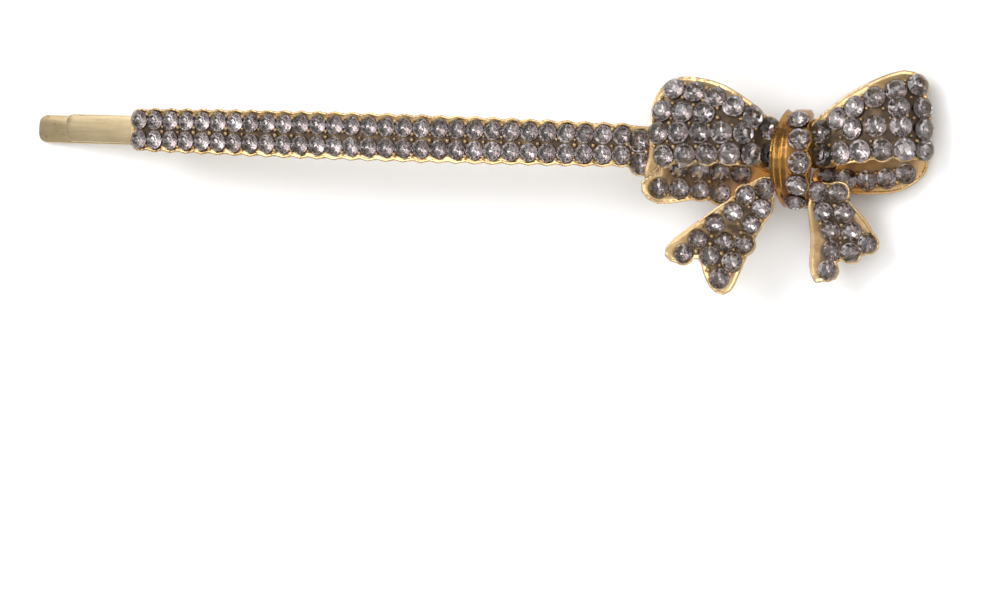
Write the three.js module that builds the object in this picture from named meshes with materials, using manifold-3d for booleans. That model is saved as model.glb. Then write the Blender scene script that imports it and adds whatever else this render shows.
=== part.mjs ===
// Rhinestone hair clip: a folded spring pin under an arched cast bar that ends in a relief bow.
// Millimetres, +Z up. The casting is laid out flat first, as (along, across, up), and then every
// vertex is carried onto the arch, so all pieces share one curve. The clip lies on its lower prong
// and on the end of the bow's backbone, with its stones up.
import * as THREE from 'three';
import { mergeVertices } from 'three/addons/utils/BufferGeometryUtils.js';
import Module from 'manifold-3d';

const wasm = await Module();
wasm.setup();

// ---------- driving dimensions ----------
// arch of the whole clip, measured along the back of the casting from the middle of the knot
const ARCH_RADIUS = 140;
const ARCH_RUN_OUT = 0.7; // how far the arch goes on past the bar; the tongue beyond is straight
const BAR_END = -12.9; // at the bow
const BAR_LENGTH = 50.4;
const TONGUE_LENGTH = 8.7; // of plain pin, past the bar
const PRONG_REACH = 3.5; // of the lower prong, past the tongue

// fits
const SOLDER_GAP = 0.04; // between pieces that are soldered or glued together
const FOLD_GAP = 0.12; // at each end of the fold, so the prong can turn

// pin: one flat strip, folded back under itself
const STRIP_WIDTH = 2.4;
const STRIP_THICKNESS = 0.5;
const ARM_GAP = 0.15; // between the two arms when the clip is closed
const LOWER_OFFSET = 0.15; // how far the prong lies to one side of the upper arm
const FOLD_START = -6;
const TIP_ROUND = 0.8;
const SOLDER_THICKNESS = 0.25;
const SOLDER_LENGTH = 6;
const SOLDER_WIDTH = 1.8;
const SOLDER_COUNT = 3;
const SOLDER_INSET = 7.3; // of the first pad, from the bar's end
const SOLDER_LAST = -11;

// bar
const TRAY_THICKNESS = 1.4;
const TRAY_LIP = 0.08; // of metal beside the stones, at the bar's ends
const TRAY_SWELL = 0.22; // how much wider each side is halfway along
const SCALLOP = 0.1;
const BAR_MARGIN = 0.1; // of metal beyond the first stones
const BACKBONE_END = 9.5;
const BACKBONE_HALF = 1.3;
const BACKBONE_THICKNESS = 0.8;

// stones
// diameters, by what they sit on
const BAR_STONE = 1.62;
const JUNCTION_STONE = 1.9;
const OUTER_STONE = 1.9;
const INNER_STONE = 1.7;
const TAIL_STONE = 1.7;
const KNOT_STONE = 1.9;
const STONE_SPACING = 0.05; // between neighbours along the bar
const ROW_SPACING = 0.06; // between the bar's two rows, at its ends
const ROW_SWELL = 0.06; // how much farther out each row is halfway along
const JUNCTION_INSET = 1.05; // of the junction stones, from the bar's end
const JUNCTION_NEST = 0.2; // how far the last bar stones reach in between the junction stones
const STONE_SIDES = 8;
const TABLE_SHARE = 0.58; // of the stone's diameter
const CROWN_SHARE = 0.24;
const PAVILION_SHARE = 0.3;
const STONE_LIFT = 0.12; // of the girdle above the metal
const CEMENT_OVERLAP = 0.08; // of neighbours in a row, at their girdles

// bow
const LEAF_THICKNESS = 0.85;
const INNER_THICKNESS = 0.6;
const TAIL_THICKNESS = 0.75;
const LEFT_TAIL_LIFT = 0.26; // of each tail over the inner leaf, at the knot
const RIGHT_TAIL_LIFT = 0.16;
const KNOT_RADIUS = 4.3;
const KNOT_WALL = 0.95;
const KNOT_CENTRE = -0.65;
const KNOT_LEFT = -1.9;
const KNOT_RIGHT = 1.6;
const KNOT_TAPER = 0.3; // how much narrower the band is at its feet
const KNOT_GROOVE = 0.3;
const KNOT_STONE_COUNT = 5;
const KNOT_STONE_SPACING = 0.14; // between them, along the band
const KNOT_FACING = -4.5; // degrees from straight up to the middle stone

// ---------- places and heights that follow from them ----------
const barStart = BAR_END - BAR_LENGTH;
const upperTip = barStart - TONGUE_LENGTH;
const lowerTip = upperTip - PRONG_REACH;
const archStart = barStart - ARCH_RUN_OUT;
const rowOffsetAtEnds = (BAR_STONE + ROW_SPACING) / 2;
const trayEndHalf = rowOffsetAtEnds + BAR_STONE / 2 + TRAY_LIP;
const armTop = -(SOLDER_THICKNESS + 2 * SOLDER_GAP);
const armBottom = armTop - STRIP_THICKNESS;
const prongTop = armBottom - ARM_GAP;
const prongBottom = prongTop - STRIP_THICKNESS;
const foldCentre = armBottom - ARM_GAP / 2;

// ---------- the arch ----------
function archPoint(s, y, h) {
  const held = Math.max(s, archStart);
  const angle = held / ARCH_RADIUS;
  const past = s - held;
  const reach = ARCH_RADIUS + h;
  const x = reach * Math.sin(angle) + past * Math.cos(angle);
  const z = reach * Math.cos(angle) - past * Math.sin(angle) - ARCH_RADIUS;
  return new THREE.Vector3(x, y, z);
}

// ---------- closed meshes and solids ----------
function meshFrom(points, faces) {
  const geometry = new THREE.BufferGeometry();
  const bent = points.flatMap((p) => archPoint(...p).toArray());
  geometry.setAttribute('position', new THREE.Float32BufferAttribute(bent, 3));
  geometry.setIndex(faces.flat());
  return geometry;
}

function solidOf(geometry) {
  const merged = mergeVertices(geometry, 1e-5);
  return new wasm.Manifold(new wasm.Mesh({
    numProp: 3,
    vertProperties: new Float32Array(merged.attributes.position.array),
    triVerts: new Uint32Array(merged.index.array),
  }));
}

function geometryOf(solid) {
  const mesh = solid.getMesh();
  const geometry = new THREE.BufferGeometry();
  geometry.setAttribute('position', new THREE.BufferAttribute(mesh.vertProperties, 3));
  geometry.setIndex(new THREE.BufferAttribute(mesh.triVerts, 1));
  return geometry;
}

// rings of points, joined side to side: a closed skin, its ends filled across from point to point
function skin(rings) {
  const count = rings[0].length;
  const last = (rings.length - 1) * count;
  const faces = [];
  for (let r = 0; r + 1 < rings.length; r += 1) {
    for (let i = 0; i < count; i += 1) {
      const a = r * count + i;
      const b = r * count + (i + 1) % count;
      faces.push([a, b, b + count], [a, b + count, a + count]);
    }
  }
  for (let i = 0, j = count - 1; i + 1 < j; i += 1, j -= 1) {
    const halves = i + 2 < j ? [[i, i + 1, j - 1], [i, j - 1, j]] : [[i, i + 1, j]];
    for (const [a, b, c] of halves) {
      faces.push([a, c, b], [last + a, last + b, last + c]);
    }
  }
  return meshFrom(rings.flat(), faces);
}

// a closed block over a rectangle, between a lower and an upper height
function block(area, step, bottom, top) {
  const [s0, s1, y0, y1] = area;
  const columns = Math.max(1, Math.round((s1 - s0) / step));
  const lines = Math.max(1, Math.round((y1 - y0) / step));
  const points = [];
  for (const height of [bottom, top]) {
    for (let i = 0; i <= columns; i += 1) {
      for (let j = 0; j <= lines; j += 1) {
        const s = s0 + (s1 - s0) * i / columns;
        const y = y0 + (y1 - y0) * j / lines;
        points.push([s, y, height(s, y)]);
      }
    }
  }
  const layer = (columns + 1) * (lines + 1);
  const at = (i, j, up) => up * layer + i * (lines + 1) + j;
  const faces = [];
  const quad = (a, b, c, d) => faces.push([a, b, c], [a, c, d]);
  for (let i = 0; i < columns; i += 1) {
    for (let j = 0; j < lines; j += 1) {
      quad(at(i, j, 1), at(i + 1, j, 1), at(i + 1, j + 1, 1), at(i, j + 1, 1));
      quad(at(i, j, 0), at(i, j + 1, 0), at(i + 1, j + 1, 0), at(i + 1, j, 0));
    }
    quad(at(i, 0, 0), at(i + 1, 0, 0), at(i + 1, 0, 1), at(i, 0, 1));
    quad(at(i, lines, 0), at(i, lines, 1), at(i + 1, lines, 1), at(i + 1, lines, 0));
  }
  for (let j = 0; j < lines; j += 1) {
    quad(at(0, j, 0), at(0, j, 1), at(0, j + 1, 1), at(0, j + 1, 0));
    quad(at(columns, j, 0), at(columns, j + 1, 0), at(columns, j + 1, 1), at(columns, j, 1));
  }
  return meshFrom(points, faces);
}

// a closed prism that stands on an outline of (along, across) points
function prism(outline, low, high) {
  const count = outline.length;
  const flat = outline.map(([s, y]) => new THREE.Vector2(s, y));
  const caps = THREE.ShapeUtils.triangulateShape(flat, []);
  const points = [low, high].flatMap((h) => outline.map(([s, y]) => [s, y, h]));
  const faces = caps.flatMap(([a, b, c]) => [[a, c, b], [a + count, b + count, c + count]]);
  for (let i = 0; i < count; i += 1) {
    const j = (i + 1) % count;
    faces.push([i, j, j + count], [i, j + count, i + count]);
  }
  return meshFrom(points, faces);
}

function counterClockwise(points) {
  const flat = points.map(([s, y]) => new THREE.Vector2(s, y));
  return THREE.ShapeUtils.area(flat) > 0 ? points : points.slice().reverse();
}

// a smooth closed outline through its points
function rounded(points, samples) {
  const knots = points.map(([s, y]) => new THREE.Vector3(s, y, 0));
  const curve = new THREE.CatmullRomCurve3(knots, true, 'centripetal');
  const sampled = curve.getSpacedPoints(samples).slice(0, -1);
  return counterClockwise(sampled.map((p) => [p.x, p.y]));
}

function grownOutline(outline, gap) {
  return outline.map((point, i) => {
    const before = outline.at(i - 1);
    const after = outline[(i + 1) % outline.length];
    const run = new THREE.Vector2(after[0] - before[0], after[1] - before[1]).normalize();
    return [point[0] + run.y * gap, point[1] - run.x * gap];
  });
}

// a cast piece in relief: everything inside its outline between two height functions
function relief(piece, gap = 0) {
  const outline = gap > 0 ? grownOutline(piece.outline, gap) : piece.outline;
  const along = outline.map((p) => p[0]);
  const across = outline.map((p) => p[1]);
  const edge = 0.3;
  const area = [
    Math.min(...along) - edge, Math.max(...along) + edge,
    Math.min(...across) - edge, Math.max(...across) + edge,
  ];
  const bottom = (s, y) => piece.bottom(s, y) - gap;
  const top = (s, y) => piece.top(s, y) + gap;
  const body = solidOf(block(area, piece.step, bottom, top));
  const [below, above] = [-5, 12]; // past every piece
  return body.intersect(solidOf(prism(outline, below, above)));
}

function clearOf(body, neighbours) {
  return neighbours.reduce((left, other) => left.subtract(relief(other, SOLDER_GAP)), body);
}

// ---------- stones ----------
// where a stone sits on a height function: its girdle's centre and the metal's own directions
function seatOn(top, s, y, heading = 0) {
  const probe = 0.25;
  const slopeS = (top(s + probe, y) - top(s - probe, y)) / (2 * probe);
  const slopeY = (top(s, y + probe) - top(s, y - probe)) / (2 * probe);
  const normal = new THREE.Vector3(-slopeS, -slopeY, 1).normalize();
  return seatAt(new THREE.Vector3(s, y, top(s, y)), normal, heading);
}

function seatAt(foot, normal, heading) {
  const ahead = new THREE.Vector3(Math.cos(heading), Math.sin(heading), 0);
  const side = new THREE.Vector3().crossVectors(normal, ahead).normalize();
  const along = new THREE.Vector3().crossVectors(side, normal);
  const centre = foot.clone().addScaledVector(normal, STONE_LIFT);
  return { centre, normal, along, side };
}

// an eight-sided ring round a seat; its first and middle corners can be drawn out along a row
function ringAt(seat, radius, height, grow = 0, linked = true) {
  return Array.from({ length: STONE_SIDES }, (_, i) => {
    const angle = 2 * Math.PI * i / STONE_SIDES;
    const outward = seat.along.clone().multiplyScalar(Math.cos(angle))
      .addScaledVector(seat.side, Math.sin(angle));
    const drawn = linked && seat.links?.[i];
    const corner = drawn ? drawn.clone() : seat.centre.clone().addScaledVector(outward, radius);
    return corner.addScaledVector(outward, grow).addScaledVector(seat.normal, height).toArray();
  });
}

// a ring above a point: pavilion below the girdle, and what the rings above it say
function cone(seat, depth, rings) {
  const tip = seat.centre.clone().addScaledVector(seat.normal, -depth).toArray();
  const points = [tip, ...rings.flat()];
  const faces = [];
  for (let i = 0; i < STONE_SIDES; i += 1) {
    const j = (i + 1) % STONE_SIDES;
    faces.push([0, j + 1, i + 1]);
    for (let r = 0; r + 1 < rings.length; r += 1) {
      const a = 1 + r * STONE_SIDES;
      const b = a + STONE_SIDES;
      faces.push([a + i, a + j, b + j], [a + i, b + j, b + i]);
    }
  }
  const last = 1 + (rings.length - 1) * STONE_SIDES;
  for (let i = 1; i + 1 < STONE_SIDES; i += 1) {
    faces.push([last, last + i, last + i + 1]);
  }
  return meshFrom(points, faces);
}

function chaton(seat, diameter) {
  return cone(seat, PAVILION_SHARE * diameter, [
    ringAt(seat, diameter / 2, 0),
    ringAt(seat, TABLE_SHARE * diameter / 2, CROWN_SHARE * diameter, 0, false),
  ]);
}

// the hollow that a stone is glued into, open at the top
function seatCutter(seat, diameter) {
  const depth = PAVILION_SHARE * diameter + 1.5 * SOLDER_GAP;
  return solidOf(cone(seat, depth, [
    ringAt(seat, diameter / 2, 0, SOLDER_GAP),
    ringAt(seat, diameter / 2, diameter / 2, SOLDER_GAP),
  ]));
}

// stones at equal steps over the metal, along a gentle curve between two (along, across) points
function seatRow(top, row) {
  const [from, to] = [new THREE.Vector2(...row.from), new THREE.Vector2(...row.to)];
  const run = to.clone().sub(from);
  const side = new THREE.Vector2(-run.y, run.x).normalize();
  const place = (t) => from.clone().addScaledVector(run, t)
    .addScaledVector(side, (row.bow ?? 0) * 4 * t * (1 - t));
  const onMetal = Array.from({ length: 25 }, (_, i) => {
    const here = place(i / 24);
    return new THREE.Vector3(here.x, here.y, top(here.x, here.y));
  });
  const path = new THREE.CatmullRomCurve3(onMetal);
  const ahead = path.getSpacedPoints(row.count - 1).map((p, i) => {
    const heading = path.getTangentAt(i / (row.count - 1));
    return seatOn(top, p.x, p.y, Math.atan2(heading.y, heading.x));
  });
  return cemented(ahead);
}

// cement carries each girdle on to its neighbours in the row, which makes the row one piece
function cemented(seats) {
  const towards = (seat, other) => {
    const run = other.centre.clone().sub(seat.centre);
    return seat.centre.clone().addScaledVector(run, 0.5 + CEMENT_OVERLAP / run.length());
  };
  return seats.map((seat, i) => {
    const links = {};
    if (i + 1 < seats.length) links[0] = towards(seat, seats[i + 1]);
    if (i > 0) links[STONE_SIDES / 2] = towards(seat, seats[i - 1]);
    return { ...seat, links };
  });
}

function stoneRow(seats, diameter) {
  return seats.map((seat) => solidOf(chaton(seat, diameter))).reduce((a, b) => a.add(b));
}

function withSeats(solid, seats, diameter) {
  return seats.reduce((body, seat) => body.subtract(seatCutter(seat, diameter)), solid);
}

// ---------- height functions ----------
// 0 at one end and 1 at the other, with level ends; the ends can run either way
function smooth(from, to, value) {
  return THREE.MathUtils.smoothstep((value - from) / (to - from), 0, 1);
}

const barShare = (s) => THREE.MathUtils.clamp((s - barStart) / BAR_LENGTH, 0, 1);
const rowOffset = (s) => rowOffsetAtEnds + ROW_SWELL * Math.sin(Math.PI * barShare(s));

function trayTop(s) {
  const drop = TRAY_THICKNESS - BACKBONE_THICKNESS;
  return TRAY_THICKNESS - drop * smooth(BAR_END, BAR_END + 0.5, s);
}

const leafSeat = BACKBONE_THICKNESS + SOLDER_GAP; // the underside of what lies on the backbone

// an outer leaf's far edge comes down to the plane of the casting's back
function skirted(underside, share) {
  return THREE.MathUtils.lerp(underside, 0, share);
}

function leftOuterTop(s, y) {
  const rise = smooth(-1.5, -5.5, s) * 2.3;
  const fall = smooth(-9, -15, s) * 1.1;
  const crown = 1 - ((y - 0.8) / 8) ** 2;
  return (leafSeat + LEAF_THICKNESS + rise - fall) * crown + 0.1;
}

function rightOuterTop(s, y) {
  const rise = smooth(0.5, 7, s) * 2.2;
  const fall = smooth(9.2, 12.8, s) * 2.2;
  const crown = 1 - ((y - 0.8) / 9.5) ** 2;
  return (leafSeat + LEAF_THICKNESS + rise - fall) * crown + 0.1;
}

const innerFlat = leafSeat + INNER_THICKNESS;

function innerTop(s) {
  return innerFlat + 0.3 * smooth(-12, -14.5, s);
}

function leftTailTop(s, y) {
  const drop = 1.15 * smooth(-3.2, -8, y);
  const ripple = 0.22 * Math.cos((s + 7.5) * 0.8) * smooth(-5, -9, y);
  return innerFlat + LEFT_TAIL_LIFT + TAIL_THICKNESS - drop + ripple;
}

const rightTailEdge = (y) => 1.45 - 0.9 * smooth(-7, -3.6, y) + 0.35 * smooth(-9.5, -11.5, y);

function rightTailTop(s, y) {
  const drop = 0.85 * smooth(-3, -8, y);
  const wall = 0.8 * (1 - smooth(0, 1, s - rightTailEdge(y)));
  return innerFlat + RIGHT_TAIL_LIFT + TAIL_THICKNESS - drop - wall;
}

// ---------- outlines, as (along, across) points from the knot outwards and back ----------
const leftOuter = {
  outline: rounded([
    [-0.97, -1.1], [-0.97, 2.0], [-2.14, 2.2], [-3.5, 3.7], [-6.32, 5.4], [-8.94, 6.0], [-10.69, 5.85],
    [-11.96, 4.7], [-12.39, 3.1], [-12.34, 1.6], [-12.49, -1.0], [-13.02, -2.4], [-12.83, -2.85],
    [-11.96, -2.0], [-10.11, -1.1], [-6.32, -1.15], [-3.79, -1.4],
  ], 40),
  top: leftOuterTop,
  bottom: (s, y) => skirted(leftOuterTop(s, y) - LEAF_THICKNESS, smooth(4.5, 5.8, y)),
  step: 1.5,
};
const rightOuter = {
  outline: rounded([
    [0.87, -1.2], [0.87, 2.0], [2.51, 3.5], [4.25, 4.9], [6.18, 6.05], [7.82, 6.85], [9.37, 7.2],
    [10.43, 6.7], [11.01, 4.9], [11.11, 3.5], [11.4, 1.6], [11.5, 0.2], [11.11, -0.6],
    [9.95, -0.2], [6.38, -0.5], [4.15, -1.0], [2.32, -1.3],
  ], 40),
  top: rightOuterTop,
  bottom: (s, y) => skirted(rightOuterTop(s, y) - LEAF_THICKNESS, smooth(5.2, 6.7, y)),
  step: 1.5,
};
const leftInner = {
  outline: rounded([
    [-1.26, -2.3], [-1.26, -1.7], [-2.92, -1.7], [-4.08, 0], [-7.78, 0.4], [-11.28, 0.2],
    [-11.86, -1.0], [-12.25, -2.5], [-13.02, -2.75], [-13.56, -3.3],
    [-13.32, -4.1], [-12.44, -4.8], [-10.98, -4.8], [-9.33, -4.5], [-7.68, -4.35], [-6.71, -5.0],
    [-5.44, -4.6], [-3.89, -3.4], [-2.53, -2.9],
  ], 36),
  top: innerTop,
  bottom: (s) => innerTop(s) - INNER_THICKNESS,
  step: 2,
};
const rightInner = {
  outline: rounded([
    [1.35, -2.4], [1.55, -1.7], [3.19, -1.6], [4.44, 0.3], [7.73, 0.8], [10.24, 0.6], [11.21, -0.4],
    [10.92, -1.6], [9.85, -2.6],
    [8.5, -3.2], [6.76, -3.4], [4.06, -3.4], [2.51, -3.2],
  ], 30),
  top: innerTop,
  bottom: (s) => innerTop(s) - INNER_THICKNESS,
  step: 2,
};
const leftTail = {
  outline: rounded([
    [-2.0, -2.4], [-2.7, -2.35], [-4.0, -3.1], [-5.2, -4.1], [-6.9, -5.3], [-9.3, -7.05],
    [-10.9, -8.3], [-11.4, -9.1], [-11.0, -9.75], [-10.0, -9.9], [-8.6, -9.45], [-8.15, -9.6],
    [-7.75, -10.8], [-7.1, -12.0], [-6.2, -12.55], [-5.5, -12.2], [-4.9, -10.9], [-4.2, -9.1],
    [-3.1, -6.8], [-2.1, -5.4], [-1.8, -4.0],
  ], 46),
  top: leftTailTop,
  bottom: (s, y) => leftTailTop(s, y) - TAIL_THICKNESS,
  step: 1.6,
};
const rightTail = {
  outline: rounded([
    [1.7, -2.9], [1.4, -3.4], [1.15, -4.2], [1.1, -5.0], [1.3, -6.3], [1.42, -8.0], [1.35, -9.6],
    [1.6, -10.7], [2.1, -11.3], [2.7, -10.85], [3.4, -10.2], [3.6, -9.4], [4.6, -9.1],
    [5.6, -8.7], [6.6, -8.6], [7.05, -7.9], [6.5, -6.4], [5.4, -5.0], [4.6, -4.1], [4.0, -2.95],
    [2.8, -2.7],
  ], 44),
  top: rightTailTop,
  bottom: (s, y) => rightTailTop(s, y) - TAIL_THICKNESS,
  step: 1.6,
};

// ---------- where the stones go ----------
const leftOuterRows = [
  { from: [-10.64, 4.95], to: [-2.43, 1.85], count: 6, bow: 0.75 },
  { from: [-11.42, 3.05], to: [-7.73, 3.0], count: 3 },
  { from: [-11.66, 1.15], to: [-4.37, 1.4], count: 5, bow: 0.05 },
  { from: [-11.13, -0.8], to: [-2.24, -0.4], count: 6, bow: 0.15 },
];
const rightOuterRows = [
  { from: [2.13, 1.7], to: [10.24, 6.0], count: 6, bow: 0.65 },
  { from: [8.84, 4.05], to: [10.72, 4.05], count: 2 },
  { from: [4.93, 2.05], to: [10.92, 2.25], count: 4, bow: 0.3 },
  { from: [2.32, -0.3], to: [11.01, 0.5], count: 6, bow: 0.2 },
];
const leftInnerRows = [
  { from: [-10.3, -1.85], to: [-4.86, -2.1], count: 4, bow: -0.05 },
  { from: [-12.05, -3.6], to: [-6.61, -3.8], count: 4, bow: 0.1 },
];
const rightInnerRows = [{ from: [9.37, -1.6], to: [2.7, -2.0], count: 5, bow: 0.5 }];
const leftTailPlaces = [
  [-2.5, -3.35], [-4.2, -3.95], [-2.85, -5.05], [-5.3, -5.45], [-3.85, -6.45], [-6.95, -6.5],
  [-6.1, -8.05], [-4.4, -8.2], [-8.45, -7.9], [-9.7, -9.2], [-7.35, -9.3], [-5.45, -9.75],
  [-6.45, -11.2],
];
const rightTailPlaces = [
  [2.05, -3.5], [3.8, -3.45], [2.5, -5.15], [4.3, -5.15], [3.1, -6.75], [4.9, -6.8],
  [3.2, -8.5], [4.9, -8.6], [6.35, -7.75], [2.95, -10.2],
];

// ---------- knot ----------
// the band arches over everything that meets under it; the stones stand right of a plain groove
function knotBand(gap = 0) {
  const stations = [
    [KNOT_LEFT, -0.35], [KNOT_LEFT + 0.3, 0], [KNOT_LEFT + 0.85, -KNOT_GROOVE],
    [KNOT_LEFT + 1.4, 0], [KNOT_RIGHT - 0.3, 0], [KNOT_RIGHT, -0.35],
  ];
  const inner = KNOT_RADIUS - KNOT_WALL - gap;
  const steps = 14;
  const middle = (KNOT_LEFT + KNOT_RIGHT) / 2;
  const around = (radius, s, from, to) => Array.from({ length: steps + 1 }, (_, i) => {
    const angle = THREE.MathUtils.lerp(from, to, i / steps);
    const share = 1 - KNOT_TAPER * Math.sin(angle) ** 2;
    const [across, up] = [Math.sin(angle), Math.cos(angle)];
    return [middle + (s - middle) * share, KNOT_CENTRE + radius * across, radius * up];
  });
  const foot = Math.PI / 2;
  return solidOf(skin(stations.map(([s, raise]) => {
    const end = s === KNOT_LEFT ? -gap : s === KNOT_RIGHT ? gap : 0;
    return [
      ...around(KNOT_RADIUS + raise + gap, s + end, foot, -foot),
      ...around(inner, s + end, -foot, foot),
    ];
  })));
}

function knotSeats() {
  const step = (KNOT_STONE + KNOT_STONE_SPACING) / KNOT_RADIUS;
  return Array.from({ length: KNOT_STONE_COUNT }, (_, i) => {
    const turns = (KNOT_STONE_COUNT - 1) / 2 - i;
    const angle = THREE.MathUtils.degToRad(KNOT_FACING) + turns * step;
    const s = 0.66 - 0.8 * Math.sin(angle) ** 2;
    const normal = new THREE.Vector3(0, Math.sin(angle), Math.cos(angle));
    const foot = new THREE.Vector3(s, KNOT_CENTRE, 0).addScaledVector(normal, KNOT_RADIUS);
    return seatAt(foot, normal, 0);
  });
}

// ---------- bar ----------
const junctionPlace = BAR_END - JUNCTION_INSET;
const firstStone = barStart + BAR_STONE / 2 + BAR_MARGIN;
const lastStone = junctionPlace - (BAR_STONE + JUNCTION_STONE) / 2 + JUNCTION_NEST;
const barSteps = Math.round((lastStone - firstStone) / (BAR_STONE + STONE_SPACING));
const barPitch = (lastStone - firstStone) / barSteps;

function barSeats(side) {
  return cemented(Array.from({ length: barSteps + 1 }, (_, i) => {
    const s = firstStone + i * barPitch;
    return seatOn(trayTop, s, side * rowOffset(s));
  }));
}

// the junction stones are on the bar's last stretch
const junctionPlaces = [[junctionPlace, 0.4], [junctionPlace + 0.2, -1.55]];
const junctionSeats = junctionPlaces.map((place) => seatOn(trayTop, ...place));

function trayOutline() {
  const half = (s) => {
    const wave = Math.cos(2 * Math.PI * (s - firstStone) / barPitch);
    return trayEndHalf + TRAY_SWELL * Math.sin(Math.PI * barShare(s)) + SCALLOP * wave;
  };
  // the end is rounded about the first stones
  const round = BAR_STONE / 2 + BAR_MARGIN;
  const upper = [5, 30, 55, 80].map((degrees) => {
    const angle = THREE.MathUtils.degToRad(degrees);
    return [firstStone - round * Math.cos(angle), rowOffsetAtEnds + round * Math.sin(angle)];
  });
  for (let s = firstStone + barPitch / 4; s < BAR_END - 1.5; s += barPitch / 4) {
    upper.push([s, half(s)]);
  }
  const lower = upper.map(([s, y]) => [s, -y]);
  const rightEnd = [
    [BAR_END - 0.3, 1.6], [BAR_END, 1.3],
    [-8, BACKBONE_HALF], [-4, BACKBONE_HALF], [0, BACKBONE_HALF], [4, BACKBONE_HALF],
    [BACKBONE_END - 0.5, BACKBONE_HALF], [BACKBONE_END, BACKBONE_HALF - 0.5],
  ];
  const rightBack = rightEnd.slice(2).map(([s, y]) => [s, -y]).reverse();
  return counterClockwise([
    ...upper, ...rightEnd, ...rightBack,
    [BAR_END, -2.2], [BAR_END - 0.6, -2.5], [BAR_END - 1.4, -2.4],
    ...lower.reverse(),
  ]);
}

const barTray = {
  outline: trayOutline(),
  top: trayTop,
  bottom: () => 0,
  step: 2.4,
};

// ---------- pin ----------
function strip(tip, end, top, offset) {
  const half = STRIP_WIDTH / 2;
  const round = Array.from({ length: 4 }, (_, i) => {
    const angle = Math.PI / 2 * i / 3;
    return [tip + TIP_ROUND * (1 - Math.sin(angle)), half - TIP_ROUND * (1 - Math.cos(angle))];
  });
  const count = Math.round((end - tip) / 2.4);
  const edge = Array.from({ length: count }, (_, i) => [
    THREE.MathUtils.lerp(tip + 1.2, end, (i + 1) / count), half,
  ]);
  const upper = [...round.reverse(), ...edge];
  const outline = [...upper, ...upper.map(([s, y]) => [s, -y]).reverse()];
  return relief({
    outline: counterClockwise(outline.map(([s, y]) => [s, y + offset])),
    top: () => top,
    bottom: () => top - STRIP_THICKNESS,
    step: 2.4,
  });
}

function fold() {
  const arc = (radius) => Array.from({ length: 9 }, (_, i) => {
    const angle = Math.PI * (0.5 - i / 8);
    return [
      FOLD_START + FOLD_GAP + radius * Math.cos(angle),
      foldCentre + radius * Math.sin(angle),
    ];
  });
  const side = [...arc(ARM_GAP / 2 + STRIP_THICKNESS), ...arc(ARM_GAP / 2).reverse()];
  return solidOf(ribbon(side, -STRIP_WIDTH / 2, STRIP_WIDTH / 2));
}

// a closed skin across the clip, on an outline of (along, up) points that needn't be convex
function ribbon(outline, y0, y1) {
  const points = counterClockwise(outline);
  const count = points.length;
  const caps = THREE.ShapeUtils.triangulateShape(points.map((p) => new THREE.Vector2(...p)), []);
  const faces = caps.flatMap(([a, b, c]) => [[a, b, c], [a + count, c + count, b + count]]);
  for (let i = 0; i < count; i += 1) {
    const j = (i + 1) % count;
    faces.push([i, i + count, j + count], [i, j + count, j]);
  }
  return meshFrom([y0, y1].flatMap((y) => points.map(([s, h]) => [s, y, h])), faces);
}

function solderPad(s) {
  const low = armTop + SOLDER_GAP;
  const half = SOLDER_LENGTH / 2;
  return relief({
    outline: rounded([
      [s - half, 0], [s - half + 0.5, SOLDER_WIDTH / 2], [s, SOLDER_WIDTH / 2],
      [s + half - 0.5, SOLDER_WIDTH / 2], [s + half, 0], [s + half - 0.5, -SOLDER_WIDTH / 2],
      [s, -SOLDER_WIDTH / 2], [s - half + 0.5, -SOLDER_WIDTH / 2],
    ], 16),
    top: () => low + SOLDER_THICKNESS,
    bottom: () => low,
    step: 2,
  });
}

// ---------- materials ----------
const gold = new THREE.MeshStandardMaterial({ color: 0xc9a35c, roughness: 0.32, metalness: 1 });
const deepGold = new THREE.MeshStandardMaterial({ color: 0xb07a2c, roughness: 0.35, metalness: 1 });
const pinGold = new THREE.MeshStandardMaterial({ color: 0xd8c188, roughness: 0.3, metalness: 1 });
const solder = new THREE.MeshStandardMaterial({ color: 0xb9b3a4, roughness: 0.5, metalness: 1 });
const glass = new THREE.MeshStandardMaterial({ color: 0xd6d0d8, roughness: 0.05, metalness: 0 });

// ---------- assembly ----------
const group = new THREE.Group();

function add(name, solid, material) {
  const mesh = new THREE.Mesh(geometryOf(solid), material);
  mesh.name = name;
  group.add(mesh);
}

function addSingles(name, seats, diameter) {
  seats.forEach((seat, i) => {
    add(`${name}_${i + 1}`, solidOf(chaton(seat, diameter)), glass);
  });
}

function addRows(name, rows, diameter) {
  rows.forEach((seats, i) => add(`${name}_${i + 1}`, stoneRow(seats, diameter), glass));
}

const knotCutter = knotBand(SOLDER_GAP);
const placed = (top, places) => places.map((p) => seatOn(top, ...p));
const rowsOn = (top, rows) => rows.map((row) => seatRow(top, row));

const barRows = [barSeats(1), barSeats(-1)];
const trayBody = withSeats(relief(barTray), barRows.flat(), BAR_STONE);
add('bar_tray', withSeats(trayBody, junctionSeats, JUNCTION_STONE), gold);
addRows('bar_stone_row', barRows, BAR_STONE);
addSingles('junction_stone', junctionSeats, JUNCTION_STONE);

const pieces = [
  ['left_loop_outer', leftOuter, rowsOn(leftOuterTop, leftOuterRows)],
  ['right_loop_outer', rightOuter, rowsOn(rightOuterTop, rightOuterRows)],
];
for (const [name, piece, rows] of pieces) {
  const body = clearOf(relief(piece), [barTray]).subtract(knotCutter);
  add(name, withSeats(body, rows.flat(), OUTER_STONE), gold);
  addRows(`${name}_stone_row`, rows, OUTER_STONE);
}

const tails = [
  ['left_tail', leftTail, placed(leftTailTop, leftTailPlaces)],
  ['right_tail', rightTail, placed(rightTailTop, rightTailPlaces)],
];
for (const [name, piece, seats] of tails) {
  add(name, withSeats(relief(piece).subtract(knotCutter), seats, TAIL_STONE), gold);
  addSingles(`${name}_stone`, seats, TAIL_STONE);
}

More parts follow.
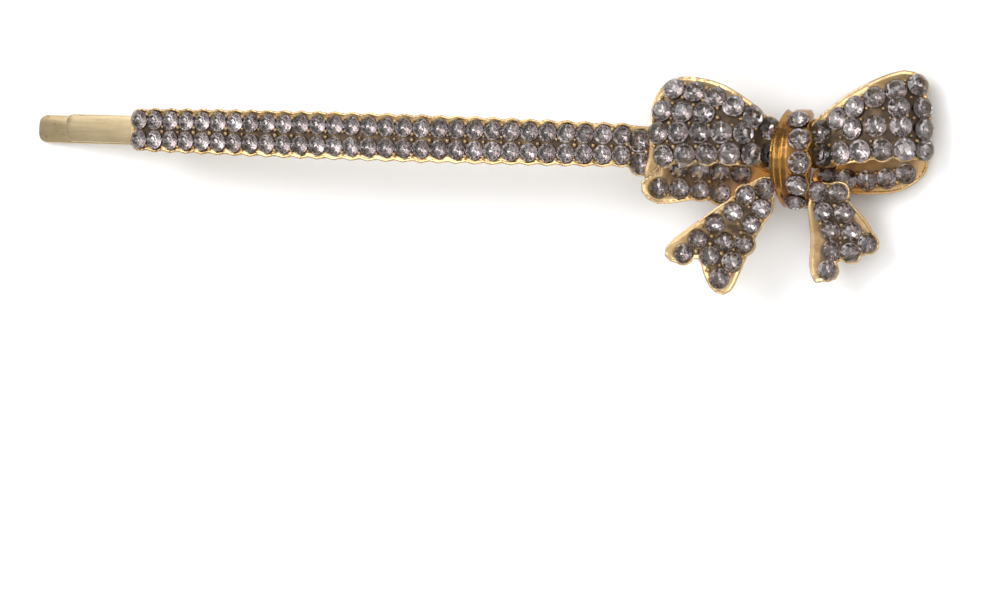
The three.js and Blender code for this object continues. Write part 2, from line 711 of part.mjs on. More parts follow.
const innerLeaves = [
  ['left_loop_inner', leftInner, [leftOuter, leftTail, barTray], rowsOn(innerTop, leftInnerRows)],
  ['right_loop_inner', rightInner, [rightOuter, rightTail], rowsOn(innerTop, rightInnerRows)],
];
for (const [name, piece, neighbours, rows] of innerLeaves) {
  const body = clearOf(relief(piece), neighbours);
  add(name, withSeats(body, rows.flat(), INNER_STONE), deepGold);
  addRows(`${name}_stone_row`, rows, INNER_STONE);
}

add('knot_band', withSeats(knotBand(), knotSeats(), KNOT_STONE), gold);
addSingles('knot_stone', knotSeats(), KNOT_STONE);

add('pin_upper_arm', strip(upperTip, FOLD_START, armTop, 0), pinGold);
add('pin_lower_prong', strip(lowerTip, FOLD_START, prongTop, -LOWER_OFFSET), pinGold);
add('pin_fold', fold(), pinGold);
for (let i = 0; i < SOLDER_COUNT; i += 1) {
  const share = i / (SOLDER_COUNT - 1);
  const s = THREE.MathUtils.lerp(barStart + SOLDER_INSET, SOLDER_LAST, share);
  add(`solder_pad_${i + 1}`, solderPad(s), solder);
}

// at rest the clip stands on the prong's tip and on the end of the backbone, under the bow
const tip = archPoint(lowerTip, 0, prongBottom);
const heel = archPoint(BACKBONE_END, 0, 0);
group.rotation.y = Math.atan2(heel.z - tip.z, heel.x - tip.x);
const box = new THREE.Box3().setFromObject(group, true);
const middle = box.getCenter(new THREE.Vector3());
group.position.set(-middle.x, -middle.y, -box.min.z);

export default group;
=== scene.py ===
"""The looks of a rhinestone hair clip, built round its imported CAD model.

Sizes are named in millimetres and turned into metres where a mesh is made. The stones, the metal
and the folded pin all take their places from the CAD nodes that they stand for.
"""

import math
import random

import bmesh
import bpy
import numpy as np
from mathutils import Matrix, Vector
from mathutils.kdtree import KDTree


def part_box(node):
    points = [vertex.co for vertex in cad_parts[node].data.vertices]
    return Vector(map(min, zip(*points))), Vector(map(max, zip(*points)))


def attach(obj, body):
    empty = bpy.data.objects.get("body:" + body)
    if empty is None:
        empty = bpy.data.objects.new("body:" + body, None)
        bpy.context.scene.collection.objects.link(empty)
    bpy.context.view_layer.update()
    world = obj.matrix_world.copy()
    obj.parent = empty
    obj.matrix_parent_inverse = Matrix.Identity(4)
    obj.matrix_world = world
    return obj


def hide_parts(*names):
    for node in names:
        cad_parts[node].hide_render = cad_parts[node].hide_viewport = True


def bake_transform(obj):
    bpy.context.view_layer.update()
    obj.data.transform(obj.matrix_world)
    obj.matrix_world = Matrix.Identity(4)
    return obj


MM = 0.001

# stones, as shares of a stone's girdle radius
TABLE_REACH = 0.58
CROWN_HEIGHT = 0.48
STAR_REACH = 0.80
GIRDLE_BAND = 0.06
PAVILION_DEPTH = 0.60
HALF_REACH = 0.45
GIRDLE_REACH = 1.02
FACETS = 8

# how a CAD table facet is told: how flat, in degrees, and how far from round
TABLE_FLATNESS = 0.4
TABLE_UNEVENNESS = 0.25

# metal between the stones: lengths in mm, the rest shares
BEAD_RADIUS = 0.17
BEAD_RISE = 0.15
BEAD_ASIDE = 0.66
NEIGHBOUR_REACH = 1.28
BEAD_APART = 0.62
BEAD_SHARE = 0.72
# how much of the gaps' painted shade a bead's top takes
BEAD_SHADE = 0.3
BEAD_SIDES = 8
BEAD_LEVELS = ((-2.2, 1.25), (0.0, 1.05), (0.5, 0.9), (0.85, 0.55))
BEAD_FOOT = -2.5
BEAD_SIZES = (0.75, 1.3)
STONE_KEPT_CLEAR = 0.98

# castings: lengths in mm, the rest shares
RIM_RADIUS = 0.13
RIM_CLEAR = 1.08
RIM_PUSH = 0.6
SEAT_REACH = 1.2
RIM_STEP = 0.12
# the lip, and this much round it, takes none of the painted shade, which fades back in over RIM_FADE
LIP_UNSHADED_REACH = 0.2
RIM_FADE = 0.08
RIM_SPAN = 0.3
TOP_RISE = 0.55
WALL_RISE = 0.45
VOXEL = 0.085
SMOOTH_TURNS = 6
KEPT_SHARE = 0.55

# the folded pin, in mm
PIN_ROUND = 0.11
BEND_LENGTH = 7.0
BEND_STEP = 0.5
ROOT_DEPTH = 0.3
ROOT_REACH = 0.2

# how far from the knot the inner leaves stay redder and darker, partly painted shade under the outer
# leaves and partly the plating's deeper amber, in mm
WARM_SHADE_REACH = 10.0

# view: angles in degrees, lengths in mm
VIEW_LEAN = 25.18
VIEW_ROLL = 2.05
VIEW_WIDTH = 86.96
VIEW_DISTANCE = 2000.0
LOOK_AT = (1.72, -11.07, 0.0)
SENSOR = 36.0


# ---------------------------------------------------------------- the frame

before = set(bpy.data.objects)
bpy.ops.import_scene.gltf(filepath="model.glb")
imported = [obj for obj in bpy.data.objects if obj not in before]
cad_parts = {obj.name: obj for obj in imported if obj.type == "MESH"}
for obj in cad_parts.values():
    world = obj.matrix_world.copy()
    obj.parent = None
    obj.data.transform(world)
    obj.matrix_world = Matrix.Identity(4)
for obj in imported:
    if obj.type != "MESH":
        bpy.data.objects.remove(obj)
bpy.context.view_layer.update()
draw = random.Random(7)


def nodes_named(start):
    """The CAD nodes whose names start so, in name order."""
    return sorted(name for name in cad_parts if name.startswith(start))


class Stone:
    """A round stone's seat: the middle of its girdle, its three directions and its radius, in mm."""

    def __init__(self, table_centre, along, normal, table_radius):
        self.radius = table_radius / TABLE_REACH
        self.normal = normal
        self.along = along
        self.side = normal.cross(along)
        self.centre = table_centre - normal * CROWN_HEIGHT * self.radius

    def point(self, angle, reach, height):
        """A point by its angle, reach and height, the last two as shares of the radius."""
        outward = self.along * math.cos(angle) + self.side * math.sin(angle)
        return self.centre + self.radius * (reach * outward + height * self.normal)


def clean_copy(*names):
    """One bmesh of these CAD nodes, in mm, with its corners joined."""
    mesh = bmesh.new()
    for name in names:
        mesh.from_mesh(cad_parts[name].data)
    bmesh.ops.scale(mesh, vec=(1 / MM,) * 3, verts=mesh.verts)
    bmesh.ops.remove_doubles(mesh, verts=mesh.verts, dist=1e-4)
    return mesh


def stones_in(*names):
    """A stone for each flat eight-sided table facet in these CAD nodes."""
    found = []
    for name in names:
        mesh = clean_copy(name)
        bmesh.ops.dissolve_limit(
            mesh, angle_limit=math.radians(TABLE_FLATNESS), verts=mesh.verts, edges=mesh.edges
        )
        for face in mesh.faces:
            if len(face.verts) != FACETS:
                continue
            centre = face.calc_center_median()
            reach = [(v.co - centre).length for v in face.verts]
            if max(reach) - min(reach) < TABLE_UNEVENNESS * max(reach):
                along = (face.verts[0].co - centre).normalized()
                found.append(Stone(centre, along, face.normal.copy(), sum(reach) / FACETS))
        mesh.free()
    return found


def new_object(name, mesh):
    """An object of a bmesh in mm, linked to the scene."""
    bmesh.ops.scale(mesh, vec=(MM,) * 3, verts=mesh.verts)
    data = bpy.data.meshes.new(name)
    mesh.to_mesh(data)
    mesh.free()
    made = bpy.data.objects.new(name, data)
    bpy.context.scene.collection.objects.link(made)
    return made


# ---------------------------------------------------------------- materials

def shader(name):
    """A new material, its node tree and its Principled shader."""
    made = bpy.data.materials.new(name)
    made.use_nodes = True
    return made, made.node_tree, made.node_tree.nodes["Principled BSDF"]


def node(tree, kind, links=(), **values):
    """A node of that kind with its inputs set or linked by name."""
    made = tree.nodes.new(kind)
    for key, value in values.items():
        if hasattr(made, key):
            setattr(made, key, value)
        else:
            made.inputs[key.replace("_", " ")].default_value = value
    for socket, source in dict(links).items():
        tree.links.new(source, made.inputs[socket])
    return made


def ramp(tree, source, stops):
    """A colour ramp of (place, colour) stops."""
    made = node(tree, "ShaderNodeValToRGB", {"Fac": source})
    while len(made.color_ramp.elements) < len(stops):
        made.color_ramp.elements.new(0.5)
    for element, (place, colour) in zip(made.color_ramp.elements, stops):
        element.position = place
        element.color = (*colour, 1)
    return made.outputs["Color"]


def grey(value):
    return (value, value, value)


def noise(tree, scale, detail=4.0, roughness=0.55, stretch=(1, 1, 1)):
    """Noise in the object's own coordinates, with scale in waves per mm."""
    place = node(tree, "ShaderNodeTexCoord").outputs["Object"]
    mapped = node(tree, "ShaderNodeMapping", {"Vector": place})
    mapped.inputs["Scale"].default_value = [scale * s / MM for s in stretch]
    made = node(tree, "ShaderNodeTexNoise", {"Vector": mapped.outputs["Vector"]})
    made.inputs["Scale"].default_value = 1.0
    made.inputs["Detail"].default_value = detail
    made.inputs["Roughness"].default_value = roughness
    return made.outputs["Fac"]


def mix(tree, share, a, b):
    """Colour a to colour b by share; each is a socket or a colour."""
    made = tree.nodes.new("ShaderNodeMix")
    made.data_type = "RGBA"
    sockets = [s for s in made.inputs if s.type == "RGBA"]
    for socket, value in ((made.inputs[0], share), (sockets[0], a), (sockets[1], b)):
        if isinstance(value, bpy.types.NodeSocket):
            tree.links.new(value, socket)
        elif isinstance(value, (int, float)):
            socket.default_value = value
        else:
            socket.default_value = (*value, 1)
    return [s for s in made.outputs if s.type == "RGBA"][0]


def bumped(tree, principled, height, depth, strength):
    """Bump of that depth in mm from a height."""
    made = node(tree, "ShaderNodeBump", {"Height": height})
    made.inputs["Strength"].default_value = strength
    made.inputs["Distance"].default_value = depth * MM
    tree.links.new(made.outputs["Normal"], principled.inputs["Normal"])


def cast_gold(name, light, deep, shade_colour, warm_shade=None):
    """Plated casting: a cloudy pale-to-amber plate, darkened to brown by painted shade, with some
    tarnish, in the gaps between the stones and round their girdles, and where a warm tint is given,
    redder and darker towards the knot, partly painted shade and partly the plating's deeper amber."""
    made, tree, principled = shader(name)
    principled.inputs["Metallic"].default_value = 1.0
    gap_shade = node(tree, "ShaderNodeAttribute", attribute_name="gap_shade").outputs["Fac"]
    cloud = noise(tree, 0.5)
    plate = ramp(tree, cloud, [(0.3, light), (0.72, deep)])
    if warm_shade:
        # towards the knot the plate turns redder and darker: partly painted shade, partly deeper
        # amber plating
        place = node(tree, "ShaderNodeTexCoord").outputs["Object"]
        along = node(tree, "ShaderNodeSeparateXYZ", {"Vector": place}).outputs["X"]
        aside = node(tree, "ShaderNodeMath", {0: along}, operation="SUBTRACT")
        aside.inputs[1].default_value = (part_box("knot_band")[0].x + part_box("knot_band")[1].x) / 2
        away = node(tree, "ShaderNodeMath", {0: aside.outputs[0]}, operation="ABSOLUTE").outputs[0]
        share = node(tree, "ShaderNodeMath", {0: away}, operation="DIVIDE")
        share.inputs[1].default_value = WARM_SHADE_REACH * MM
        near = ramp(tree, share.outputs[0], [(0.45, grey(1.0)), (0.95, grey(0.0))])
        plate = mix(tree, near, plate, warm_shade)
    # painted shade, with some tarnish: the plate is mixed towards a dark brown in the gaps between
    # the stones and round their girdles
    tree.links.new(mix(tree, gap_shade, plate, shade_colour), principled.inputs["Base Color"])
    fine = noise(tree, 3.0, detail=6.0)
    smooth = ramp(tree, fine, [(0.3, grey(0.16)), (0.75, grey(0.36))])
    dull = mix(tree, gap_shade, smooth, grey(0.55))
    tree.links.new(dull, principled.inputs["Roughness"])
    bumped(tree, principled, noise(tree, 2.2, detail=5.0), 0.02, 0.6)
    return made


def strip_gold(name):
    """Plated spring strip: pale, with fine lengthwise scratches and a few pits."""
    made, tree, principled = shader(name)
    principled.inputs["Metallic"].default_value = 1.0
    cloud = noise(tree, 0.35)
    plate = ramp(tree, cloud, [(0.3, (0.72, 0.58, 0.36)), (0.75, (0.62, 0.48, 0.27))])
    pits = ramp(tree, noise(tree, 1.8, detail=2.0), [(0.66, grey(0.0)), (0.74, grey(1.0))])
    tree.links.new(mix(tree, pits, plate, (0.42, 0.28, 0.12)), principled.inputs["Base Color"])
    scratches = noise(tree, 0.8, detail=3.0, stretch=(0.3, 5.0, 1.0))
    rough = ramp(tree, scratches, [(0.35, grey(0.26)), (0.7, grey(0.34))])
    tree.links.new(rough, principled.inputs["Roughness"])
    bumped(tree, principled, scratches, 0.004, 0.3)
    return made


def solder_grey(name):
    """Plated solder: softly lumpy and duller than the strip."""
    made, tree, principled = shader(name)
    principled.inputs["Metallic"].default_value = 1.0
    lumps = noise(tree, 1.0)
    tree.links.new(
        ramp(tree, lumps, [(0.3, (0.62, 0.50, 0.33)), (0.7, (0.78, 0.66, 0.46))]),
        principled.inputs["Base Color"],
    )
    tree.links.new(ramp(tree, lumps, [(0.3, grey(0.3)), (0.7, grey(0.5))]),
                   principled.inputs["Roughness"])
    bumped(tree, principled, noise(tree, 1.6), 0.06, 0.7)
    return made


def stone_glass(name):
    """The clear crown of a stone, with a faint lilac cast and rubbed facet edges."""
    made, tree, principled = shader(name)
    principled.inputs["Transmission Weight"].default_value = 1.0
    principled.inputs["IOR"].default_value = 1.56
    haze = noise(tree, 1.4, detail=5.0)
    tree.links.new(ramp(tree, haze, [(0.35, (1.0, 0.985, 0.985)), (0.7, (0.95, 0.93, 0.93))]),
                   principled.inputs["Base Color"])
    tree.links.new(ramp(tree, haze, [(0.4, grey(0.0)), (0.75, grey(0.06))]),
                   principled.inputs["Roughness"])
    return made


def stone_foil(name):
    """The mirrored back of a stone, each facet with its own tone."""
    made, tree, principled = shader(name)
    principled.inputs["Metallic"].default_value = 1.0
    tone = node(tree, "ShaderNodeAttribute", attribute_name="tone").outputs["Fac"]
    foil = ramp(tree, tone, [(0.0, (0.18, 0.145, 0.145)), (0.35, (0.35, 0.305, 0.30)),
                             (0.7, (0.49, 0.44, 0.44)), (1.0, (0.70, 0.66, 0.67))])
    worn = ramp(tree, noise(tree, 2.5), [(0.55, grey(0.0)), (0.8, grey(0.35))])
    tree.links.new(mix(tree, worn, foil, (0.42, 0.34, 0.26)), principled.inputs["Base Color"])
    tree.links.new(ramp(tree, noise(tree, 3.5), [(0.3, grey(0.06)), (0.7, grey(0.2))]),
                   principled.inputs["Roughness"])
    return made


def floor_paper(name):
    """Plain pale paper."""
    made, tree, principled = shader(name)
    fibre = noise(tree, 0.02)
    tree.links.new(ramp(tree, fibre, [(0.3, grey(0.94)), (0.7, grey(0.97))]),
                   principled.inputs["Base Color"])
    principled.inputs["Roughness"].default_value = 0.9
    return made


# plate colours for the castings; the dark brown is painted shade, with some tarnish, for the gaps
# between the stones
PALE = (0.62, 0.45, 0.245)
AMBER = (0.47, 0.30, 0.135)
SHADE_BROWN = (0.08, 0.056, 0.04)
casting_gold = cast_gold("casting_gold", PALE, AMBER, SHADE_BROWN)
# the inner leaves: a darker brown in their gaps, and redder and darker towards the knot, partly
# painted shade under the outer leaves and partly deeper amber plating
inner_gold_shaded = cast_gold("inner_gold_shaded", PALE, AMBER, (0.10, 0.06, 0.035), (0.34, 0.155, 0.04))
knot_gold = cast_gold("knot_gold", (0.40, 0.21, 0.06), (0.26, 0.12, 0.03), (0.10, 0.06, 0.04))
pin_gold = strip_gold("pin_gold")
solder = solder_grey("solder_plate")
glass = stone_glass("stone_glass")
foil = stone_foil("stone_foil")


# ---------------------------------------------------------------- stones

def planar_height(angle_off, reach, inner, outer):
    """The height at a reach, off to one side, on the flat facet between two (reach, height)
    points."""
    run = (reach * math.cos(angle_off) - inner[0]) / (outer[0] - inner[0])
    return inner[1] + run * (outer[1] - inner[1])


def add_stone(mesh, stone, tones):
    """One brilliant-cut stone: table, stars, kites, girdle, and a foiled pavilion."""
    step = 2 * math.pi / FACETS
    half = step / 2
    top = [stone.point(i * step, TABLE_REACH, CROWN_HEIGHT) for i in range(FACETS)]
    star_rise = planar_height(
        half, STAR_REACH, (TABLE_REACH, CROWN_HEIGHT), (GIRDLE_REACH, GIRDLE_BAND)
    )
    star = [stone.point((i + 0.5) * step, STAR_REACH, star_rise) for i in range(FACETS)]
    upper = [stone.point(i * half, GIRDLE_REACH, GIRDLE_BAND) for i in range(2 * FACETS)]
    lower = [stone.point(i * half, GIRDLE_REACH, 0) for i in range(2 * FACETS)]
    fall = planar_height(half, HALF_REACH, (0.0, -PAVILION_DEPTH), (GIRDLE_REACH, 0.0))
    back = [stone.point((i + 0.5) * step, HALF_REACH, fall) for i in range(FACETS)]
    culet = mesh.verts.new(stone.point(0, 0, -PAVILION_DEPTH))
    top, star, upper, lower, back = (
        [mesh.verts.new(p) for p in ring] for ring in (top, star, upper, lower, back)
    )
    crown = [top]
    pavilion = []
    for i in range(FACETS):
        after, before = (i + 1) % FACETS, i - 1
        a, b, c = 2 * i, 2 * i + 1, (2 * i + 2) % (2 * FACETS)
        crown.append([top[i], star[i], top[after]])
        crown.append([top[i], star[before], upper[a], star[i]])
        crown.append([star[i], upper[a], upper[b]])
        crown.append([star[i], upper[b], upper[c]])
        crown.append([upper[a], lower[a], lower[b], upper[b]])
        crown.append([upper[b], lower[b], lower[c], upper[c]])
        pavilion.append([culet, back[i], lower[a], back[before]])
        pavilion.append([back[i], lower[b], lower[a]])
        pavilion.append([back[i], lower[c], lower[b]])
    shade = draw.uniform(-0.16, 0.12)
    for index, group in enumerate((crown, pavilion)):
        for corners in group:
            face = mesh.faces.new(corners)
            face.material_index = index
            face[tones] = min(1.0, max(0.0, draw.betavariate(1.6, 1.1) + shade))


def stone_piece(name, nodes):
    """All the stones of some CAD nodes as one piece."""
    stones = stones_in(*nodes)
    mesh = bmesh.new()
    tones = mesh.faces.layers.float.new("tone")
    for stone in stones:
        add_stone(mesh, stone, tones)
    bmesh.ops.recalc_face_normals(mesh, faces=mesh.faces)
    made = new_object(name, mesh)
    made.data.materials.append(glass)
    made.data.materials.append(foil)
    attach(made, "clip")
    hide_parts(*nodes)
    return stones


# ---------------------------------------------------------------- castings

def gap_beads(stones):
    """A (place, normal) for each bead of metal raised between neighbouring stones."""
    wanted = []
    for i, one in enumerate(stones):
        for other in stones[i + 1:]:
            run = other.centre - one.centre
            if run.length > NEIGHBOUR_REACH * (one.radius + other.radius):
                continue
            normal = (one.normal + other.normal).normalized()
            aside = normal.cross(run).normalized() * BEAD_ASIDE * (one.radius + other.radius) / 2
            middle = (one.centre + other.centre) / 2
            wanted += [(middle + aside, normal), (middle - aside, normal)]
    merged = []
    while wanted:
        place, normal = wanted.pop()
        near = [w for w in wanted if (w[0] - place).length < BEAD_APART]
        wanted = [w for w in wanted if (w[0] - place).length >= BEAD_APART]
        group = [(place, normal), *near]
        centre = sum((g[0] for g in group), Vector()) / len(group)
        upward = sum((g[1] for g in group), Vector()).normalized()
        if all((centre - s.centre).length > STONE_KEPT_CLEAR * s.radius for s in stones):
            merged.append((centre, upward))
    return merged


def add_bead(mesh, place, normal, radius, rise, gap_shade):
    """A small raised dome on a short stem, sunk into the metal."""
    side = normal.orthogonal().normalized()
    across = normal.cross(side)
    rings = []
    for height, share in BEAD_LEVELS:
        ring = []
        for i in range(BEAD_SIDES):
            angle = 2 * math.pi * i / BEAD_SIDES
            outward = side * math.cos(angle) + across * math.sin(angle)
            ring.append(mesh.verts.new(place + outward * radius * share + normal * rise * height))
        rings.append(ring)
    tip = mesh.verts.new(place + normal * rise)
    foot = mesh.verts.new(place + normal * rise * BEAD_FOOT)
    # the dome's top takes a share of the gaps' painted shade
    for vertex in (tip, *rings[-1], *rings[-2]):
        vertex[gap_shade] = BEAD_SHADE
    for i in range(BEAD_SIDES):
        j = (i + 1) % BEAD_SIDES
        for low, high in zip(rings, rings[1:]):
            mesh.faces.new([low[i], low[j], high[j], high[i]])
        mesh.faces.new([rings[-1][i], rings[-1][j], tip])
        mesh.faces.new([rings[0][j], rings[0][i], foot])


def gap_shade_weight(points, stones):
    """How much painted shade each point takes among the stones, from 0 at a free rim to 1 in a gap
    between them, with a ring of it round each stone's girdle.
    """
    if not stones:
        return np.zeros(len(points))
    centres = np.array([s.centre for s in stones])
    normals = np.array([s.normal for s in stones])
    radii = np.array([s.radius for s in stones])
    total = np.zeros(len(points))
    seam = np.zeros(len(points))
    for centre, normal, radius in zip(centres, normals, radii):
        offset = points - centre
        depth = offset @ normal
        reach = np.linalg.norm(offset - depth[:, None] * normal, axis=1) / radius
        near = np.clip((2.3 - reach) / 0.8, 0, 1) * np.clip((depth + 1.2) / 0.5, 0, 1)
        total += near
        # a ring of painted contact shade round each stone's girdle
        seam = np.maximum(seam, np.clip((1.22 - reach) / 0.14, 0, 1) * (depth > -0.8))
    return np.maximum(np.clip((total - 1.5) / 1.3, 0, 1), 0.8 * seam)


def add_rod(mesh, start, end, radius):
    """A six-sided rod between two points."""
    run = end - start
    side = run.orthogonal().normalized() * radius
    across = run.normalized().cross(side)
    rings = []
    for place in (start, end):
        turns = [math.pi / 3 * i for i in range(6)]
        rings.append(
            [mesh.verts.new(place + side * math.cos(t) + across * math.sin(t)) for t in turns]
        )
    low, high = rings
    mesh.faces.new(low[::-1])
    mesh.faces.new(high)
    for i in range(6):
        mesh.faces.new([low[i], low[(i + 1) % 6], high[(i + 1) % 6], high[i]])


def clear_of(place, stones):
    """A place moved out sideways until it clears the stones that overhang it."""
    for stone in stones:
        offset = place - stone.centre
        height = offset.dot(stone.normal)
        flat = offset - height * stone.normal
        short = RIM_CLEAR * stone.radius - flat.length
        if short > 0 and abs(height) < 0.8 and flat.length > 0.25:
            place = place + flat.normalized() * min(short, RIM_PUSH)
    return place


def faces_in(normal, place, stone):
    """Whether a wall by a stone is a side of its seat, and so faces the stone."""
    offset = place - stone.centre
    return offset.length < SEAT_REACH * stone.radius and normal.dot(offset) < 0


def add_web(mesh, corners, half):
    """A thin slab on four corners, given in turn."""
    rise = Vector((0, 0, half))
    low = [mesh.verts.new(c - rise) for c in corners]
    high = [mesh.verts.new(c + rise) for c in corners]
    mesh.faces.new(low[::-1])
    mesh.faces.new(high)
    for i in range(4):
        j = (i + 1) % 4
        mesh.faces.new([low[i], low[j], high[j], high[i]])


def add_rim(mesh, stones):
    """A rounded lip along the casting's upper outline, carried out round the stones that
    overhang it. Returns points along the lip."""
    upper = []
    for edge in mesh.edges:
        if len(edge.link_faces) != 2:
            continue
        wall, top = sorted(edge.link_faces, key=lambda face: face.normal.z)
        if top.normal.z < TOP_RISE or abs(wall.normal.z) > WALL_RISE or edge.calc_length() < 1e-3:
            continue
        middle = (edge.verts[0].co + edge.verts[1].co) / 2
        if not any(faces_in(wall.normal, middle, stone) for stone in stones):
            upper.append([v.co.copy() for v in edge.verts])
    lip = []
    for start, end in upper:
        count = max(1, round((end - start).length / RIM_SPAN))
        places = [start.lerp(end, i / count) for i in range(count + 1)]
        moved = [clear_of(place, stones) for place in places]
        for a, b, c, d in zip(places, places[1:], moved[1:], moved):
            over = (c - d).normalized() * 0.03
            add_rod(mesh, d - over, c + over, RIM_RADIUS)
            if (a - d).length > 0.02 or (b - c).length > 0.02:
                add_web(mesh, [a, b, c, d], RIM_RADIUS * 0.8)
            steps = max(1, round((c - d).length / RIM_STEP))
            lip += [d.lerp(c, i / steps) for i in range(steps + 1)]
    return lip


def rim_shares(points, lip):
    """1 on the lip and 0 away from it, for each point: where the painted shade is lifted off the
    lip.
    """
    tree = KDTree(len(lip))
    for i, place in enumerate(lip):
        tree.insert(place, i)
    tree.balance()
    away = np.array([tree.find(point)[2] for point in points])
    return np.clip((LIP_UNSHADED_REACH + RIM_FADE - away) / RIM_FADE, 0, 1)


def applied(made, kind, **settings):
    """Adds a modifier to an object and applies it."""
    modifier = made.modifiers.new(kind, kind)
    for key, value in settings.items():
        setattr(modifier, key, value)
    with bpy.context.temp_override(object=made, active_object=made, selected_objects=[made]):
        bpy.ops.object.modifier_apply(modifier=modifier.name)


def casting_piece(name, stones, material):
    """A CAD casting with its edges softened, a lip round its stones and beads between them."""
    source = clean_copy(name)
    source.normal_update()
    lip = add_rim(source, stones)
    data = bpy.data.meshes.new(name + "_metal")
    source.to_mesh(data)
    source.free()
    made = bpy.data.objects.new(name + "_metal", data)
    bpy.context.scene.collection.objects.link(made)
    applied(made, "REMESH", mode="VOXEL", voxel_size=VOXEL)
    applied(made, "SMOOTH", factor=0.5, iterations=SMOOTH_TURNS)
    applied(made, "DECIMATE", ratio=KEPT_SHARE)
    mesh = bmesh.new()
    mesh.from_mesh(made.data)
    points = np.array([v.co for v in mesh.verts])
    gap_shade = mesh.verts.layers.float.new("gap_shade")
    # painted shade in the gaps and round each girdle, lifted off the lip, kept on the vertices
    shaded = gap_shade_weight(points, stones) * (1 - rim_shares(points, lip))
    for vertex, value in zip(mesh.verts, shaded):
        vertex[gap_shade] = float(value)
    for place, normal in gap_beads(stones):
        if draw.random() < BEAD_SHARE:
            size = draw.uniform(*BEAD_SIZES)
            add_bead(mesh, place, normal, BEAD_RADIUS * size, BEAD_RISE * size, gap_shade)
    bmesh.ops.scale(mesh, vec=(MM,) * 3, verts=mesh.verts)
    for face in mesh.faces:
        face.smooth = True
    mesh.to_mesh(made.data)
    mesh.free()
    made.data.materials.append(material)
    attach(made, "clip")
    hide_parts(name)


# ---------------------------------------------------------------- the folded pin

def lengthened(mesh, reach):
    """Carries a strip's root on by that much, along its own run."""
    root = max(v.co.x for v in mesh.verts)
    ends = [v for v in mesh.verts if v.co.x > root - ROOT_DEPTH]
    rest = [v for v in mesh.verts if v not in ends]
    before = max(v.co.x for v in rest)
    near = [v for v in rest if v.co.x > before - ROOT_DEPTH]
    run = sum((v.co for v in ends), Vector()) / len(ends)
    run -= sum((v.co for v in near), Vector()) / len(near)
    run.y = 0
    for vertex in ends:
        vertex.co += run.normalized() * reach


def ringed(mesh, low, high, step):
    """Cuts a strip across at equal steps, so that it bends smoothly."""
    count = int((high - low) / step)
    for i in range(1, count):
        geometry = mesh.verts[:] + mesh.edges[:] + mesh.faces[:]
        bmesh.ops.bisect_plane(mesh, geom=geometry, plane_co=(low + i * step, 0, 0),
                               plane_no=(1, 0, 0))


def rounded_strip(mesh):
    """Rounds the long edges and the tip of a flat strip."""
    bmesh.ops.dissolve_limit(
        mesh, angle_limit=math.radians(0.2), verts=mesh.verts, edges=mesh.edges
    )
    sharp = [
        e for e in mesh.edges
        if len(e.link_faces) == 2 and e.calc_face_angle() > math.radians(50)
    ]
    bmesh.ops.bevel(mesh, geom=sharp, offset=PIN_ROUND, segments=3, profile=0.5, affect="EDGES",
                    clamp_overlap=True)


def pin_piece(name, mesh, nodes):
    """A piece of plated strip that stands for these CAD nodes."""
    made = new_object(name, mesh)
    for face in made.data.polygons:
        face.use_smooth = True
    made.data.set_sharp_from_angle(angle=math.radians(35))
    made.data.materials.append(pin_gold)
    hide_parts(*nodes)
    return made


# ---------------------------------------------------------------- making the clip

bar_stones = stone_piece("bar_stones", nodes_named("bar_stone_row"))
junction_stones = stone_piece("junction_stones", nodes_named("junction_stone"))
casting_piece("bar_tray", bar_stones + junction_stones, casting_gold)
for part in ("left_loop_outer", "left_loop_inner", "right_loop_outer", "right_loop_inner",
             "left_tail", "right_tail"):
    stones = stone_piece(part + "_stones", nodes_named(part + "_stone"))
    casting_piece(part, stones, inner_gold_shaded if "inner" in part else casting_gold)
knot_stones = stone_piece("knot_stones", nodes_named("knot_stone"))
casting_piece("knot_band", knot_stones, knot_gold)

arm = clean_copy("pin_upper_arm")
lengthened(arm, ROOT_REACH)
rounded_strip(arm)
upper_arm = pin_piece("pin_upper_arm_strip", arm, ["pin_upper_arm"])
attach(upper_arm, "clip")

# the prong's root is carried across the CAD gap into the fold, so that the two are one strip
spring = clean_copy("pin_lower_prong")
lengthened(spring, ROOT_REACH)
rounded_strip(spring)
root = max(v.co.x for v in spring.verts)
ringed(spring, root - BEND_LENGTH, root, BEND_STEP)
bend = clean_copy("pin_fold")
rounded_strip(bend)
whole = bpy.data.meshes.new("fold")
bend.to_mesh(whole)
bend.free()
spring.from_mesh(whole)
prong = pin_piece("pin_prong_strip", spring, ["pin_fold", "pin_lower_prong"])
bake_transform(prong)

for name in nodes_named("solder_pad"):
    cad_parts[name].data.materials.clear()
    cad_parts[name].data.materials.append(solder)


# ---------------------------------------------------------------- stage, light and camera

def make_floor():
    """A pale sheet that the clip lies on."""
    mesh = bmesh.new()
    bmesh.ops.create_grid(mesh, x_segments=8, y_segments=8, size=900)
    floor = new_object("floor", mesh)
    floor.data.materials.append(floor_paper("floor_paper"))


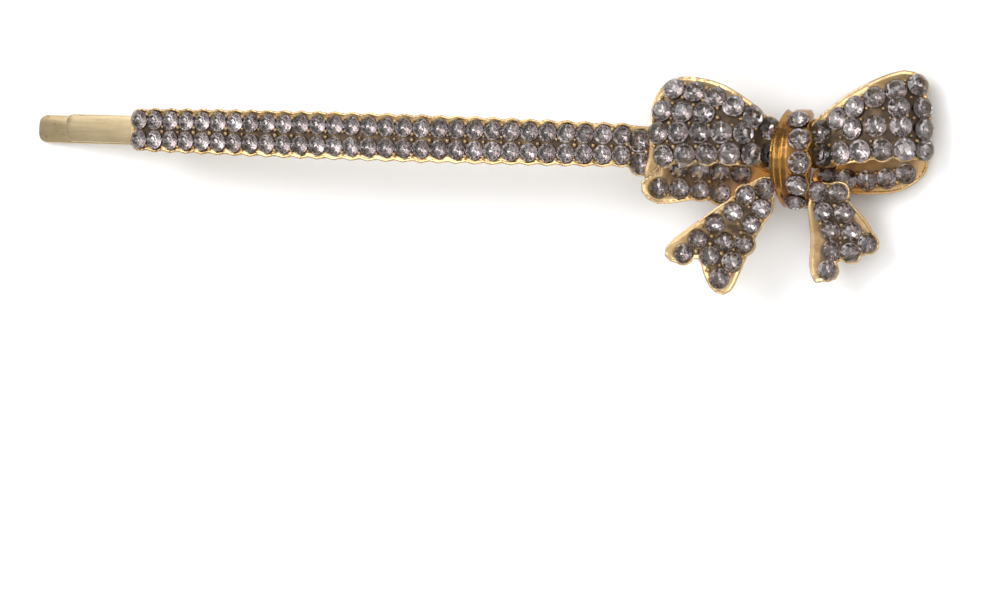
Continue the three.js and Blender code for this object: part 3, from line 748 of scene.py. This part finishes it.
def softbox(name, place, size, power, aim=(0, 0, 0)):
    """A square area light, placed in mm and turned to its aim."""
    data = bpy.data.lights.new(name, "AREA")
    data.shape = "SQUARE"
    data.size = size * MM
    data.energy = power
    light = bpy.data.objects.new(name, data)
    bpy.context.scene.collection.objects.link(light)
    light.location = Vector(place) * MM
    light.rotation_euler = (Vector(aim) - Vector(place)).to_track_quat("-Z", "Y").to_euler()


def make_camera():
    """A long lens, leaning towards the bow's end and rolled a little."""
    lean, roll = math.radians(VIEW_LEAN), math.radians(VIEW_ROLL)
    level = Vector((math.cos(lean), 0, -math.sin(lean)))
    across = Vector((0, 1, 0))
    back = Vector((math.sin(lean), 0, math.cos(lean)))
    right = level * math.cos(roll) + across * math.sin(roll)
    up = across * math.cos(roll) - level * math.sin(roll)
    place = (Vector(LOOK_AT) + back * VIEW_DISTANCE) * MM
    data = bpy.data.cameras.new("camera")
    data.sensor_width = SENSOR
    data.lens = SENSOR * VIEW_DISTANCE / VIEW_WIDTH
    camera = bpy.data.objects.new("camera", data)
    turn = Matrix((right, up, back)).transposed().to_4x4()
    camera.matrix_world = Matrix.Translation(place) @ turn
    bpy.context.scene.collection.objects.link(camera)
    bpy.context.scene.camera = camera


def make_light():
    """A plain studio: a pale ceiling, darker walls, and softboxes above."""
    world = bpy.data.worlds.new("studio")
    world.use_nodes = True
    tree = world.node_tree
    place = node(tree, "ShaderNodeTexCoord").outputs["Generated"]
    height = node(tree, "ShaderNodeSeparateXYZ", {"Vector": place}).outputs["Z"]
    walls = ramp(tree, height, [(0.0, grey(0.34)), (0.3, grey(0.24)), (0.62, grey(0.52)),
                                (0.85, grey(1.0))])
    tree.links.new(walls, tree.nodes["Background"].inputs["Color"])
    tree.nodes["Background"].inputs["Strength"].default_value = 1.15
    bpy.context.scene.world = world
    bpy.context.scene.view_settings.view_transform = "Standard"
    softbox("key", (-330, 300, 560), 460, 2.6)
    softbox("side", (380, 120, 460), 320, 0.8)
    softbox("front", (60, -480, 360), 360, 0.7)


make_floor()
make_light()
make_camera()
